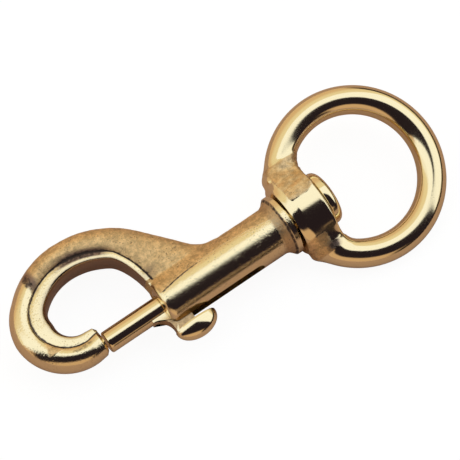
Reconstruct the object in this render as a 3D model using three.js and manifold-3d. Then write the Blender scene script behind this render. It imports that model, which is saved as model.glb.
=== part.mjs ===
// Cast brass trigger snap hook with a swivelling round eye.
// Five pieces: the cast hook with its barrel, the sliding bolt with its thumb knob, the
// compression spring behind the bolt, the cast eye, and the headed pin on which the eye swivels.
//
// Millimetres, +Z up. The barrel, the bolt and the swivel pin share one axis, which is the X axis;
// the hook lies in the plane z = 0 with its back towards +Y, and the thumb knob is on the -Y side.
// While it is drawn, x = 0 is the mouth of the barrel. At the end everything moves along X so that
// the origin is the middle of the swivel pin's flat head.

import * as THREE from 'three';
import { mergeVertices } from 'three/addons/utils/BufferGeometryUtils.js';
import Module from 'manifold-3d';

const wasm = await Module();
wasm.setup();

// ---------------------------------------------------------------- driving dimensions

// barrel of the hook casting
const barrelRadius = 5.1;
const barrelLength = 30.15;        // mouth to the rear face of the collar
const mouthRound = 1.3;            // rounding of the mouth's outer edge
const collarRise = 1.4;            // collar above the barrel
const collarRim = 1.55;            // width of the collar's rim
const collarFlare = 1.9;           // length of the hollow flare in front of the rim
const collarEdge = 0.3;            // chamfer on the rim's two edges

// bolt
const boltRadius = 2.3;
const boltClearance = 0.2;         // radial, in the barrel's bore
const boltNoseChamfer = 0.35;
const boltTail = 6;                // mouth to the shoulder that the spring pushes on
const noseInset = 0.45;            // how far inside the mouth the nose goes when the bolt is drawn back
const spigotClearance = 0.35;      // radial, from the spigot to the spring that it guides
const stopGap = 0.1;               // spigot to pin when the bolt is pulled right back

// neck that joins the bolt to its knob, and the slot that it slides in
const neckFront = -0.35;
const neckLength = 4.4;
const neckThickness = 2.8;
const neckFillet = 2.9;            // hollow between bolt and neck
const slotClearance = 0.2;         // on each side of the neck
const slotSpare = 4.25;            // slot behind the neck when the bolt is drawn right back

// thumb knob, a half dome with its flat side towards the barrel
const knobGap = 1.1;               // barrel to the knob's flat side
const knobLength = 9.1;
const knobOverhang = 0.4;          // knob in front of the neck
const knobWidth = 4.9;
const knobDepth = 3.55;
const knobRim = 0.45;              // height of the straight rim before the dome begins

// spring
const springWire = 0.5;
const springClearance = 0.25;      // radial, in the barrel's bore
const springTurns = 9.5;
const springSeatGap = 0.05;

// swivel pin
const pinRadius = 3;
const pinPressGap = 0.03;          // radial, in the barrel's rear bore
const pinGrip = 6.1;               // length held inside the barrel
const pinHeadRadius = 5.7;
const pinHeadRim = 0.7;            // height of the rim under the rounded edge
const pinHeadRound = 1.35;         // rounding of the head's outer edge
const pinHeadThickness = 2.35;

// swivel eye
const eyeClearance = 0.15;         // radial, hub on pin
const swivelGap = 0.4;             // collar to hub
const headGap = 0.3;               // hub to pin head
const hubLength = 7.4;
const hubHalfWidth = 8.4;          // in the plane of the ring
const hubHalfHeight = 6.8;         // across the plane of the ring
const hubFrontBevel = 1.7;         // along the axis
const hubFrontBevelDrop = 0.6;     // across the axis
const hubRearBevel = 0.4;
const ringRadius = 15.6;           // centre line of the wire
const ringWireRadius = 2.95;
const ringRootInset = 0.86;        // hub's side to the outside of the ring, on the hub's front face

// hook
const gateGap = 0.45;              // bolt's nose to the hook's tip
const gateLength = 13.2;           // mouth to the hook's tip
const tipRise = 0.8;               // centre of the tip above the axis
const tipStraight = 2.5;
const tipBevel = 0.6;
const bowLowerRadius = 7.6;        // radii of the hook's centre line, from the tip round the bow
const bowStraight = 1;
const bowUpperRadius = 7.5;
const crownRadius = 14.9;
const shoulderRadius = 16.6;
const shoulderAngle = 50;          // slope of the hook's back down to the barrel, in degrees
const backFillet = 3.4;            // reach of the hollow between the hook's back and the barrel
const webInset = 0.1;              // the web's inner wall lies this far behind the mouth
const wallLead = 2.6;              // the mouth wall leaves the arc this far before the shoulder's end
const wallEase = 1.9;              // reach of its curve at the shoulder
const wallStraight = 4.5;          // reach of its curve at its foot
const webBury = 2.1;               // how far the web's foot reaches into the barrel
const creaseAngle = 122;           // where the rounded back of the section ends, in degrees
const innerLand = 1.2;             // height of the flat on the inside of the hook

// half widths outwards and inwards, half thickness, and width of the bevelled inner lip
const tipSection = { outer: 2.9, inner: 2.85, thick: 3, lip: 1.5 };
const lowSection = { outer: 3.15, inner: 3, thick: 3.2, lip: 2.1 };
const bowSection = { outer: 4.3, inner: 4, thick: 3.75, lip: 4 };
const upperSection = { outer: 3.45, inner: 3.75, thick: 3.75, lip: 3.3 };
const crownSection = { outer: 3.55, inner: 3.7, thick: 3.7, lip: 2.5 };
const shoulderSection = { outer: 3.95, inner: 3.7, thick: 3.55, lip: 1.5 };
const webSection = { thick: 3.3, lip: 1.3 };

// facets
const roundSteps = 48;
const edgeSteps = 5;
const filletSteps = 8;
const ringSteps = 72;
const wireSteps = 21;             // an odd number puts a flat facet on the inside of the ring
const beadSteps = 14;
const lipSteps = 4;
const degreesPerStep = 7.5;
const webSteps = 9;
const springSides = 6;
const springStepsPerTurn = 14;

// ---------------------------------------------------------------- places worked out from them

const boreRadius = boltRadius + boltClearance;
const spigotRadius = boreRadius - springClearance - springWire - spigotClearance;
const webDepth = barrelRadius - webBury;
const pinBoreRadius = pinRadius + pinPressGap;
const hubBoreRadius = pinRadius + eyeClearance;
const pinFront = barrelLength - pinGrip;
const collarRadius = barrelRadius + collarRise;
const boltNose = -gateLength + gateGap;
const boltTravel = noseInset - boltNose;
const slotLength = neckFront + neckLength + boltTravel + slotSpare;
const spigotEnd = pinFront - boltTravel - stopGap;
const knobTop = -barrelRadius - knobGap;
const knobCentre = neckFront - knobOverhang + knobLength / 2;
const slotWidth = neckThickness + 2 * slotClearance;
const hubFront = barrelLength + swivelGap;
const hubRear = hubFront + hubLength;
const ringRootHalfWidth = hubHalfWidth - ringRootInset;
const ringOuterRadius = ringRadius + ringWireRadius;
const ringCentre = hubFront + Math.sqrt(ringOuterRadius ** 2 - ringRootHalfWidth ** 2);
const headFront = hubRear + headGap;
const headRear = headFront + pinHeadThickness;
const ringLean = Math.asin((hubHalfHeight - ringWireRadius) / ringRadius);

// ---------------------------------------------------------------- helpers

const radians = THREE.MathUtils.degToRad;

function solid(geometry) {
  const bare = geometry.clone();
  bare.deleteAttribute('normal');
  bare.deleteAttribute('uv');
  const merged = mergeVertices(bare, 1e-5);
  return new wasm.Manifold(new wasm.Mesh({
    numProp: 3,
    vertProperties: new Float32Array(merged.attributes.position.array),
    triVerts: new Uint32Array(merged.index.array),
  }));
}

function geometryOf(manifold) {
  const mesh = manifold.getMesh();
  const geometry = new THREE.BufferGeometry();
  geometry.setAttribute('position', new THREE.BufferAttribute(mesh.vertProperties, 3));
  geometry.setIndex(new THREE.BufferAttribute(mesh.triVerts, 1));
  geometry.computeVertexNormals();
  return geometry;
}

// a solid of revolution about the X axis, from [x, radius] points that begin and end on the axis
function turned(points, steps = roundSteps) {
  const profile = points.map(([x, radius]) => new THREE.Vector2(radius, x));
  const geometry = new THREE.LatheGeometry(profile, steps);
  return geometry.rotateZ(-Math.PI / 2);
}

function cylinder(radius, from, to, steps = roundSteps) {
  return turned([[from, 0], [from, radius], [to, radius], [to, 0]], steps);
}

// [x, y] points on an arc, angles in degrees
function arc(cx, cy, radius, from, to, steps) {
  return Array.from({ length: steps + 1 }, (_, i) => {
    const angle = radians(from + (to - from) * i / steps);
    return [cx + radius * Math.cos(angle), cy + radius * Math.sin(angle)];
  });
}

// skins a row of closed rings that all have the same number of points, and caps both ends
function loft(rings) {
  const size = rings[0].length;
  const positions = rings.flat().flatMap((p) => [p.x, p.y, p.z]);
  const index = [];
  for (let r = 0; r + 1 < rings.length; r += 1) {
    for (let i = 0; i < size; i += 1) {
      const a = r * size + i;
      const b = r * size + (i + 1) % size;
      index.push(a, a + size, b, b, a + size, b + size);
    }
  }
  const last = (rings.length - 1) * size;
  for (let i = 1; i + 1 < size; i += 1) {
    index.push(0, i, i + 1);
    index.push(last, last + i + 1, last + i);
  }
  const geometry = new THREE.BufferGeometry();
  geometry.setAttribute('position', new THREE.Float32BufferAttribute(positions, 3));
  geometry.setIndex(index);
  return geometry;
}

// blends two sets of section sizes
function mix(a, b, t) {
  const blend = (key) => [key, THREE.MathUtils.lerp(a[key], b[key], t)];
  return Object.fromEntries(Object.keys(b).map(blend));
}

// ---------------------------------------------------------------- hook casting

// One section of the hook between an inner and an outer point of its plan: a rounded bead on the
// outside, a crease, and a lip on the inside that falls away to a narrow flat.
function hookRing(inside, outside, { thick, lip }) {
  const width = inside.distanceTo(outside);
  const across = outside.clone().sub(inside).normalize();
  const bead = width - lip;
  const creaseCos = Math.cos(radians(creaseAngle));
  const creaseHeight = thick * Math.sin(radians(creaseAngle));
  const land = innerLand / 2;
  const upper = [];
  for (let i = lipSteps; i > 0; i -= 1) {
    const q = Math.PI / 2 * i / lipSteps;
    upper.push([lip * (1 - Math.sin(q)), land + (creaseHeight - land) * Math.cos(q)]);
  }
  const back = [];
  for (let i = 0; i <= beadSteps; i += 1) {
    const angle = radians(creaseAngle * (1 - 2 * i / beadSteps));
    back.push([lip + bead * (Math.cos(angle) - creaseCos) / (1 - creaseCos), thick * Math.sin(angle)]);
  }
  const lower = upper.map(([u, z]) => [u, -z]).reverse();
  return [...upper, ...back, ...lower].map(([u, z]) => (
    new THREE.Vector3(inside.x + across.x * u, inside.y + across.y * u, z)
  ));
}

function ringAcross(centre, heading, section) {
  const outwards = new THREE.Vector2(-Math.sin(heading), Math.cos(heading));
  const inside = centre.clone().addScaledVector(outwards, -section.inner);
  const outside = centre.clone().addScaledVector(outwards, section.outer);
  return { inside, outside, section };
}

// the hook's centre line from its tip, as turns to the right and straights
function hookBow() {
  const legs = [
    { length: tipBevel, to: tipSection },
    { length: tipStraight - tipBevel, to: lowSection },
    { radius: bowLowerRadius, turn: 90, to: bowSection },
    { length: bowStraight, to: bowSection },
    { radius: bowUpperRadius, turn: 45, to: upperSection },
    { radius: crownRadius, turn: 45, to: crownSection },
    { radius: shoulderRadius, turn: shoulderAngle, to: shoulderSection },
  ];
  const centre = new THREE.Vector2(-gateLength, tipRise);
  let heading = Math.PI;
  let section = Object.fromEntries(
    Object.entries(tipSection).map(([key, value]) => [key, value - tipBevel]),
  );
  const rows = [ringAcross(centre, heading, section)];
  for (const leg of legs) {
    const steps = leg.turn ? Math.ceil(leg.turn / degreesPerStep) : 1;
    const turn = radians(leg.turn ?? 0) / steps;
    const stride = leg.turn ? 2 * leg.radius * Math.sin(turn / 2) : leg.length;
    for (let i = 1; i <= steps; i += 1) {
      const chord = heading - turn / 2;
      centre.add(new THREE.Vector2(Math.cos(chord), Math.sin(chord)).multiplyScalar(stride));
      heading -= turn;
      rows.push(ringAcross(centre, heading, mix(section, leg.to, i / steps)));
    }
    section = leg.to;
  }
  return rows;
}

// from the shoulder the outer ends of the sections fan down the straight back and round the hollow
// into the barrel
function hookWeb(last) {
  const slope = radians(shoulderAngle);
  const drop = last.outside.y - barrelRadius;
  const corner = new THREE.Vector2(last.outside.x + drop / Math.tan(slope), barrelRadius);
  const upTheBack = new THREE.Vector2(-Math.cos(slope), Math.sin(slope));
  const backEnd = corner.clone().addScaledVector(upTheBack, backFillet);
  const barrelEnd = new THREE.Vector2(corner.x + backFillet, corner.y);
  const foot = new THREE.Vector2(barrelEnd.x, webDepth);
  const back = new THREE.CurvePath();
  back.add(new THREE.LineCurve(last.outside, backEnd));
  back.add(new THREE.QuadraticBezierCurve(backEnd, corner, barrelEnd));
  back.add(new THREE.LineCurve(barrelEnd, foot));
  return Array.from({ length: webSteps }, (_, i) => {
    const t = (i + 1) / webSteps;
    const section = mix(shoulderSection, webSection, t);
    return { inside: last.inside, outside: back.getPoint(t), section };
  });
}

// the sections of the bow and the web, with their inner ends eased into the wall beside the mouth
function hookRows() {
  const bow = hookBow();
  const rows = [...bow, ...hookWeb(bow[bow.length - 1])];
  const shoulderEnd = bow[bow.length - 1].inside.x;
  const first = rows.findIndex((row) => row.inside.x > shoulderEnd - wallLead);
  const start = rows[first].inside;
  const onward = rows[first + 1].inside.clone().sub(rows[first - 1].inside).normalize();
  const wall = new THREE.CubicBezierCurve(
    start,
    start.clone().addScaledVector(onward, wallEase),
    new THREE.Vector2(webInset, webDepth + wallStraight),
    new THREE.Vector2(webInset, webDepth),
  );
  const left = rows.length - 1 - first;
  const eased = (row, i) => ({ ...row, inside: wall.getPointAt((i - first) / left) });
  return rows.map((row, i) => (i < first ? row : eased(row, i)));
}

function hookBody() {
  const hook = loft(hookRows().map((row) => hookRing(row.inside, row.outside, row.section)));
  const rimFront = barrelLength - collarRim;
  const flareStart = rimFront - collarFlare;
  const flareRise = collarRadius - collarEdge - barrelRadius;
  const barrel = turned([
    [0, 0],
    ...arc(mouthRound, barrelRadius - mouthRound, mouthRound, 180, 90, edgeSteps),
    ...Array.from({ length: edgeSteps + 1 }, (_, i) => {
      const t = i / edgeSteps;
      return [flareStart + collarFlare * t, barrelRadius + flareRise * t * t];
    }),
    [rimFront + collarEdge, collarRadius],
    [barrelLength - collarEdge, collarRadius],
    [barrelLength, collarRadius - collarEdge],
    [barrelLength, 0],
  ]);
  const slotEnd = slotLength - slotWidth / 2;
  const slotShape = new THREE.Shape();
  slotShape.moveTo(-mouthRound, -slotWidth / 2);
  slotShape.lineTo(slotEnd, -slotWidth / 2);
  slotShape.absarc(slotEnd, 0, slotWidth / 2, -Math.PI / 2, Math.PI / 2);
  slotShape.lineTo(-mouthRound, slotWidth / 2);
  const slotTool = new THREE.ExtrudeGeometry(slotShape, {
    depth: 2 * barrelRadius, bevelEnabled: false, curveSegments: filletSteps,
  });
  slotTool.rotateX(Math.PI / 2);
  return solid(barrel)
    .add(solid(hook))
    .subtract(solid(cylinder(boreRadius, -mouthRound, pinFront + stopGap)))
    .subtract(solid(cylinder(pinBoreRadius, pinFront, barrelLength + swivelGap)))
    .subtract(solid(slotTool));
}

// ---------------------------------------------------------------- bolt

function bolt() {
  const rod = turned([
    [boltNose, 0],
    [boltNose, boltRadius - boltNoseChamfer],
    [boltNose + boltNoseChamfer, boltRadius],
    [boltTail, boltRadius],
    [boltTail, spigotRadius],
    [spigotEnd - boltNoseChamfer, spigotRadius],
    [spigotEnd, spigotRadius - boltNoseChamfer],
    [spigotEnd, 0],
  ]);
  const filletX = neckFront - neckFillet;
  const filletY = -boltRadius - neckFillet;
  const outline = new THREE.Shape();
  outline.moveTo(filletX, -boltRadius / 2);
  outline.lineTo(filletX, -boltRadius);
  outline.absarc(filletX, filletY, neckFillet, Math.PI / 2, 0, true);
  outline.lineTo(neckFront, knobTop - knobRim / 2);
  outline.lineTo(neckFront + neckLength, knobTop - knobRim / 2);
  outline.lineTo(neckFront + neckLength, -boltRadius / 2);
  const neck = new THREE.ExtrudeGeometry(outline, {
    depth: neckThickness, bevelEnabled: false, curveSegments: filletSteps,
  });
  neck.translate(0, 0, -neckThickness / 2);
  const half = knobLength / 2;
  const domeDepth = knobDepth - knobRim;
  const profile = [
    ...Array.from({ length: filletSteps + 1 }, (_, i) => {
      const angle = Math.PI / 2 * i / filletSteps;
      return new THREE.Vector2(half * Math.sin(angle), -knobRim - domeDepth * Math.cos(angle));
    }),
    new THREE.Vector2(half, 0),
    new THREE.Vector2(0, 0),
  ];
  const knob = new THREE.LatheGeometry(profile, roundSteps);
  knob.scale(1, 1, knobWidth / knobLength);
  knob.translate(knobCentre, knobTop, 0);
  return solid(rod).add(solid(neck)).add(solid(knob));
}

// ---------------------------------------------------------------- spring

class Helix extends THREE.Curve {
  constructor(radius, from, to, turns) {
    super();
    Object.assign(this, { radius, from, to, turns });
  }

  getPoint(t, target = new THREE.Vector3()) {
    const angle = 2 * Math.PI * this.turns * t;
    return target.set(
      THREE.MathUtils.lerp(this.from, this.to, t),
      this.radius * Math.cos(angle),
      this.radius * Math.sin(angle),
    );
  }
}

function boltSpring() {
  const wire = springWire / 2;
  const section = new THREE.Shape();
  section.absarc(0, 0, wire, 0, 2 * Math.PI);
  const path = new Helix(
    boreRadius - springClearance - wire,
    boltTail + springSeatGap + wire,
    pinFront - springSeatGap - wire,
    springTurns,
  );
  return solid(new THREE.ExtrudeGeometry(section, {
    steps: Math.round(springTurns * springStepsPerTurn),
    curveSegments: springSides / 2,
    bevelEnabled: false,
    extrudePath: path,
  }));
}

// ---------------------------------------------------------------- swivel eye and its pin

function swivelEye() {
  const halfTurn = Math.PI / ringSteps;
  const ring = new THREE.TorusGeometry(ringRadius, ringWireRadius, wireSteps, ringSteps);
  ring.rotateZ(halfTurn);
  ring.translate(ringCentre, 0, 0);
  const hub = turned([
    [hubFront - swivelGap, 0],
    [hubFront - swivelGap, hubHalfHeight - hubFrontBevelDrop],
    [hubFront, hubHalfHeight - hubFrontBevelDrop],
    [hubFront + hubFrontBevel, hubHalfHeight],
    [hubRear - hubRearBevel, hubHalfHeight],
    [hubRear, hubHalfHeight - hubRearBevel],
    [hubRear, 0],
  ]);
  hub.scale(1, hubHalfWidth / hubHalfHeight, 1);
  return solid(ring)
    .add(solid(hub))
    .subtract(solid(cylinder(ringRadius * 2, 0, hubFront)))
    .subtract(solid(cylinder(hubBoreRadius, 0, hubRear + headGap)));
}

function swivelPin() {
  const roundStart = headFront + pinHeadThickness - pinHeadRound;
  return solid(turned([
    [pinFront + stopGap, 0],
    [pinFront + stopGap, pinRadius],
    [headFront, pinRadius],
    [headFront, pinHeadRadius - pinHeadRim / 2],
    [headFront + pinHeadRim / 2, pinHeadRadius],
    ...arc(roundStart, pinHeadRadius - pinHeadRound, pinHeadRound, 90, 0, edgeSteps),
    [headRear, 0],
  ]));
}

// ---------------------------------------------------------------- assembly

const snap = new THREE.Group();
snap.position.x = -headRear;

function place(name, manifold, color, roughness, parent = snap) {
  const material = new THREE.MeshStandardMaterial({ color, roughness, metalness: 1 });
  const mesh = new THREE.Mesh(geometryOf(manifold), material);
  mesh.name = name;
  parent.add(mesh);
}

const eyeGroup = new THREE.Group();
eyeGroup.rotation.x = ringLean;
snap.add(eyeGroup);

place('hook_body', hookBody(), 0xb98d55, 0.42);
place('bolt', bolt(), 0xc6a26a, 0.28);
place('bolt_spring', boltSpring(), 0xa9a59b, 0.3);
place('swivel_eye', swivelEye(), 0xcaa86c, 0.26, eyeGroup);
place('swivel_pin', swivelPin(), 0xb99660, 0.32);

export default snap;
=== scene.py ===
# %% [markdown]
# # A brass snap hook with a swivelling eye
# The real thing is sand-cast yellow brass. The foundry pours the hook with its barrel as one piece and
# the round eye as another; the bolt with its thumb knob, the spring and the headed pin are fitted later.
# This lesson dresses those five pieces. The CAD model fixes every size and every motion, so it is
# loaded first and nothing in it is moved: each dressed piece stands in for the CAD piece of its name.

# %% Load the fixed frame
import math

import bmesh
import bpy
import numpy as np
from mathutils import Matrix, Vector, noise
from mathutils.bvhtree import BVHTree
from mathutils.kdtree import KDTree


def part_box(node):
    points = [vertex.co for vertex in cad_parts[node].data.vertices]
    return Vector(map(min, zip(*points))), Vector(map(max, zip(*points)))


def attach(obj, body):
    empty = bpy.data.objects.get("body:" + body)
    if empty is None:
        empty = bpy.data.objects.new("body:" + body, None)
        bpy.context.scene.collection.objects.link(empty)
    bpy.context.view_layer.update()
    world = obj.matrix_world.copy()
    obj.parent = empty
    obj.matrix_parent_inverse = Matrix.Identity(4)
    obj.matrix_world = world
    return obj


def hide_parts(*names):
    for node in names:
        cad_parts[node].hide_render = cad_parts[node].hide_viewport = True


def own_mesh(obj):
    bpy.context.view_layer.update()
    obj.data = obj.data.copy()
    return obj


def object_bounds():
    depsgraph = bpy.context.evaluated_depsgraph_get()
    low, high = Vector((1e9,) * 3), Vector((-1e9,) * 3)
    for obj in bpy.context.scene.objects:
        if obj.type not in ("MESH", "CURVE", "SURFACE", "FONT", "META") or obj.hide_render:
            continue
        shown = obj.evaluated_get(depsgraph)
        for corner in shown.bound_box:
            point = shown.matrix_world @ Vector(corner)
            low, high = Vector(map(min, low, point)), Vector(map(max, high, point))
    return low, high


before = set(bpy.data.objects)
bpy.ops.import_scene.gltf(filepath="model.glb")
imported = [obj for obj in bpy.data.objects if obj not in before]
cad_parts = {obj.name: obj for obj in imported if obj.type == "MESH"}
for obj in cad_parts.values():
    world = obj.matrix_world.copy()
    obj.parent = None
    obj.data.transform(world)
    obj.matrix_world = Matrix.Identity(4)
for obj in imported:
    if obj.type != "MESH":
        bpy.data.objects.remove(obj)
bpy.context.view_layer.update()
MM = 0.001

# %% [markdown]
# ## The driving sizes
# Lengths are easier to read in millimetres, so the shapes are worked out in millimetres with x = 0 at
# the mouth of the barrel, and are turned into metres only when a mesh is made. What the CAD boxes can
# tell is read from them; the rest are the same sizes that the CAD model was drawn with.

# %% Sizes read from the CAD boxes
hook_low, hook_high = (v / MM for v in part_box("hook_body"))
bolt_low, bolt_high = (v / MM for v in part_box("bolt"))
spring_low, spring_high = (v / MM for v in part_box("bolt_spring"))
pin_low, pin_high = (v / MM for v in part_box("swivel_pin"))

barrel_length = 30.15
mouth_x = hook_high.x - barrel_length
collar_radius = -hook_low.y
bolt_radius = bolt_high.y
bolt_nose = bolt_low.x - mouth_x
bolt_clearance = 0.2
bore_radius = bolt_radius + bolt_clearance
knob_low = bolt_low.y
knob_width = bolt_high.z - bolt_low.z
pin_front = pin_low.x - mouth_x
pin_head_radius = pin_high.y
head_rear = pin_high.x - mouth_x
print(f"mouth at x = {mouth_x:.2f} mm, bore {2 * bore_radius:.2f} mm, bolt {2 * bolt_radius:.2f} mm")

# %% Sizes of the barrel, bolt and swivel
barrel_radius = 5.1
mouth_round = 1.3
collar_rim = 1.55
collar_flare = 1.9
collar_edge = 0.3
slot_length = 21.5
slot_width = 3.2
pin_radius = 3.0
pin_bore_radius = 3.03
hub_bore_radius = 3.15
gate_length = 13.2
swivel_gap = 0.4
head_gap = 0.3
hub_front = barrel_length + swivel_gap
hub_length = 7.4
hub_rear = hub_front + hub_length
head_front = hub_rear + head_gap
hub_half_width = 8.4
hub_half_height = 6.8
ring_radius = 15.6
ring_wire = 2.95
root_half_width = 7.54
ring_centre = hub_front + math.sqrt((ring_radius + ring_wire) ** 2 - root_half_width ** 2)
ring_lean = math.asin((hub_half_height - ring_wire) / ring_radius)
print(f"ring centre {ring_centre:.2f} mm from the mouth, leaning {math.degrees(ring_lean):.1f} degrees")

# %% [markdown]
# ## Tools for making meshes
# Cast pieces are turned shapes and swept shapes run together. Three small tools make them: `turned`
# spins a profile round the X axis like a lathe, `skinned` stretches a skin over a row of sections, and
# `joined` adds or cuts one closed mesh with another. Plain mesh code was chosen over modifiers on
# primitives because every point then comes from a named size.

# %% New meshes
weld_distance = 1e-4


def new_object(name, points, faces):
    mesh = bpy.data.meshes.new(name)
    mesh.from_pydata([tuple(p) for p in np.asarray(points, float)], [], [tuple(f) for f in faces])
    mesh.validate()
    piece = bpy.data.objects.new(name, mesh)
    bpy.context.scene.collection.objects.link(piece)
    return piece


def turned_outwards(piece):
    """Makes all faces point out and welds points that lie on each other."""
    body = bmesh.new()
    body.from_mesh(piece.data)
    bmesh.ops.remove_doubles(body, verts=body.verts, dist=weld_distance)
    bmesh.ops.recalc_face_normals(body, faces=body.faces)
    body.to_mesh(piece.data)
    body.free()
    return piece


print("new meshes are welded at", weld_distance, "mm")

# %% Turn, skin and join
def band_faces(rows, size):
    """Four-sided faces between each row of points and the next, round and round."""
    return [(row * size + i, row * size + i + size, row * size + (i + 1) % size + size,
             row * size + (i + 1) % size) for row in range(rows - 1) for i in range(size)]


def turned(name, profile, steps=160):
    """A closed solid of revolution round X from (x, radius) points that start and end on the axis."""
    inner = profile[1:-1]
    angles = np.arange(steps) * 2 * math.pi / steps
    points = [(x, r * math.cos(a), r * math.sin(a)) for x, r in inner for a in angles]
    faces = band_faces(len(inner), steps)
    first, last = len(points), len(points) + 1
    points += [(profile[0][0], 0, 0), (profile[-1][0], 0, 0)]
    end = (len(inner) - 1) * steps
    for i in range(steps):
        j = (i + 1) % steps
        faces.append((first, i, j))
        faces.append((last, end + j, end + i))
    return turned_outwards(new_object(name, points, faces))


def skinned(name, rings):
    """A closed skin over a row of rings that all have the same number of points."""
    size = len(rings[0])
    points = [p for ring in rings for p in ring]
    faces = band_faces(len(rings), size)
    for ring, turn in ((0, 1), (len(rings) - 1, -1)):
        centre = len(points)
        points.append(np.mean(rings[ring], axis=0))
        for i in range(size):
            edge = (ring * size + i, ring * size + (i + 1) % size)
            faces.append((centre, *edge[::turn]))
    return turned_outwards(new_object(name, points, faces))


def joined(piece, tool, operation="UNION"):
    """Adds a second closed mesh to a piece, or cuts it out, and removes the tool."""
    step = piece.modifiers.new("join", "BOOLEAN")
    step.operation, step.object, step.solver = operation, tool, "EXACT"
    whole = bpy.data.meshes.new_from_object(piece.evaluated_get(bpy.context.evaluated_depsgraph_get()))
    piece.modifiers.clear()
    piece.data = whole
    bpy.data.objects.remove(tool)


print("turning, skinning and joining are ready")

# %% Rows of points and smooth steps
def spread(a, b, step):
    """Evenly spaced values from a to b, no further apart than step."""
    return list(np.linspace(a, b, max(2, math.ceil(abs(b - a) / step) + 1)))


def arc(cx, cy, radius, start, end, steps):
    """(x, y) points on an arc, angles in degrees."""
    angles = np.radians(np.linspace(start, end, steps + 1))
    return [(cx + radius * math.cos(a), cy + radius * math.sin(a)) for a in angles]


def points_of(piece):
    co = np.empty(len(piece.data.vertices) * 3)
    piece.data.vertices.foreach_get("co", co)
    return co.reshape(-1, 3)


def set_points(piece, points):
    piece.data.vertices.foreach_set("co", np.asarray(points, float).ravel())
    piece.data.update()


def smooth_step(low, high, value):
    t = np.clip((np.asarray(value, float) - low) / (high - low), 0, 1)
    return t * t * (3 - 2 * t)


def between(rise, fall, value):
    """1 in a band of values, with a soft rise before it and a soft fall after it."""
    return smooth_step(*rise, value) * (1 - smooth_step(*fall, value))


print("half way through a rise the smooth step is", float(smooth_step(0, 2, 1)))

# %% [markdown]
# ## Cast skin in the mesh
# Sand leaves lumps of about half a millimetre to two millimetres that show in the outline and on the
# shading of the casting. They are real relief, so they go into the mesh, along each point's normal.
# The finer grain of the sand is left to the material.

# %% Lumps and paint
lump_fade = 0.9
lump_shrink = 2.1


def lumps(points, size, seed, octaves=4):
    """Fractal noise from about -1 to 1 at each point, with features of the given size."""
    shift = Vector((seed * 7.3, seed * 3.1, seed * 5.7))
    kind = {"noise_basis": "PERLIN_ORIGINAL"}
    heights = [noise.fractal(Vector(p) / size + shift, lump_fade, lump_shrink, octaves, **kind) for p in points]
    return np.array(heights)


def push_out(piece, amount):
    """Moves each point along its own normal by its own amount, in millimetres."""
    normals = np.empty(len(piece.data.vertices) * 3)
    piece.data.vertices.foreach_get("normal", normals)
    set_points(piece, points_of(piece) + normals.reshape(-1, 3) * np.asarray(amount)[:, None])


def paint(piece, name, values):
    """Keeps one number from 0 to 1 at each point, which the materials read by name."""
    layer = piece.data.attributes.get(name) or piece.data.attributes.new(name, "FLOAT", "POINT")
    layer.data.foreach_set("value", np.clip(values, 0, 1).astype(np.float32))


def near(points, centre, reach):
    """1 at a centre and 0 beyond its reach, which may be given for each axis."""
    gap = (np.asarray(points) - np.asarray(centre, float)) / np.asarray(reach, float)
    return 1 - smooth_step(0.35, 1, np.sqrt((gap ** 2).sum(1)))


print("relief tools ready")

# %% [markdown]
# ## The hook casting: one section
# Cut across the bow and the section is a rounded bead on the outside, a narrow crease, and a softer
# lip on the inside that ends in a narrow flat. The crease is where the pattern's core met the bead.
# One function draws that section between an inner and an outer point, so the bow can grow and shrink
# along its length without the crease ever breaking.

# %% The hook's section
crease_angle = math.radians(122)
inner_land = 1.2
bevel_least = 0.4
bevel_growth = 0.6
groove_depth = 0.1
slim_lip = 2
bead_steps = 44
bevel_steps = 9


def hook_ring(inside, outside, thick, lip):
    """One closed section: bevel and flat of the lip, round bead, and the same lip below."""
    across = outside - inside
    width = np.linalg.norm(across)
    across = across / width
    bead = width - lip
    crease_cos = math.cos(crease_angle)
    crease_height = thick * math.sin(crease_angle)
    land = inner_land / 2
    bevel = bevel_least + bevel_growth * max(lip - slim_lip, 0)
    upper = []
    for q in np.linspace(math.pi / 2, 0, bevel_steps):
        upper.append((bevel * (1 - math.sin(q)), land + (crease_height - land) * math.cos(q)))
    upper += [(bevel + (lip - bevel) * t, crease_height) for t in (0.25, 0.5, 0.75)]
    back = []
    for share in np.linspace(1, -1, bead_steps + 1):
        a = crease_angle * share
        sink = groove_depth if abs(share) == 1 else 0
        height = thick * math.sin(a)
        u = lip + bead * (math.cos(a) - crease_cos) / (1 - crease_cos)
        back.append((u, height - math.copysign(sink, height)))
    lower = [(u, -z) for u, z in reversed(upper)]
    return [(*(inside + across * u), z) for u, z in upper + back + lower]


print("points in one section:", len(hook_ring(np.zeros(2), np.array([0, 7.0]), 3.5, 2)))

# %% [markdown]
# ## The hook casting: the bow
# From the tip the centre line turns right in a few plain arcs: a tight bow, a wider crown and a long
# shoulder that runs down to the barrel. Walking along those arcs, step by step, gives every section its
# place. A curve object with a bevel could do this too, but it can't change its section on the way.

# %% Walk round the bow
tip_rise = 0.8
tip_bevel = 0.6
tip_straight = 2.5
shoulder_angle = 50
sections = {
    "tip": (2.9, 2.85, 3.0, 1.5),
    "low": (3.15, 3.0, 3.2, 2.1),
    "bow": (4.3, 4.0, 3.75, 4.0),
    "upper": (3.45, 3.75, 3.75, 3.3),
    "crown": (3.55, 3.7, 3.7, 2.5),
    "shoulder": (3.95, 3.7, 3.55, 1.5),
}
legs = [
    (0, tip_bevel, "tip"),
    (0, tip_straight - tip_bevel, "low"),
    (7.6, 90, "bow"),
    (0, 1.0, "bow"),
    (7.5, 45, "upper"),
    (14.9, 45, "crown"),
    (16.6, shoulder_angle, "shoulder"),
]


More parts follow.
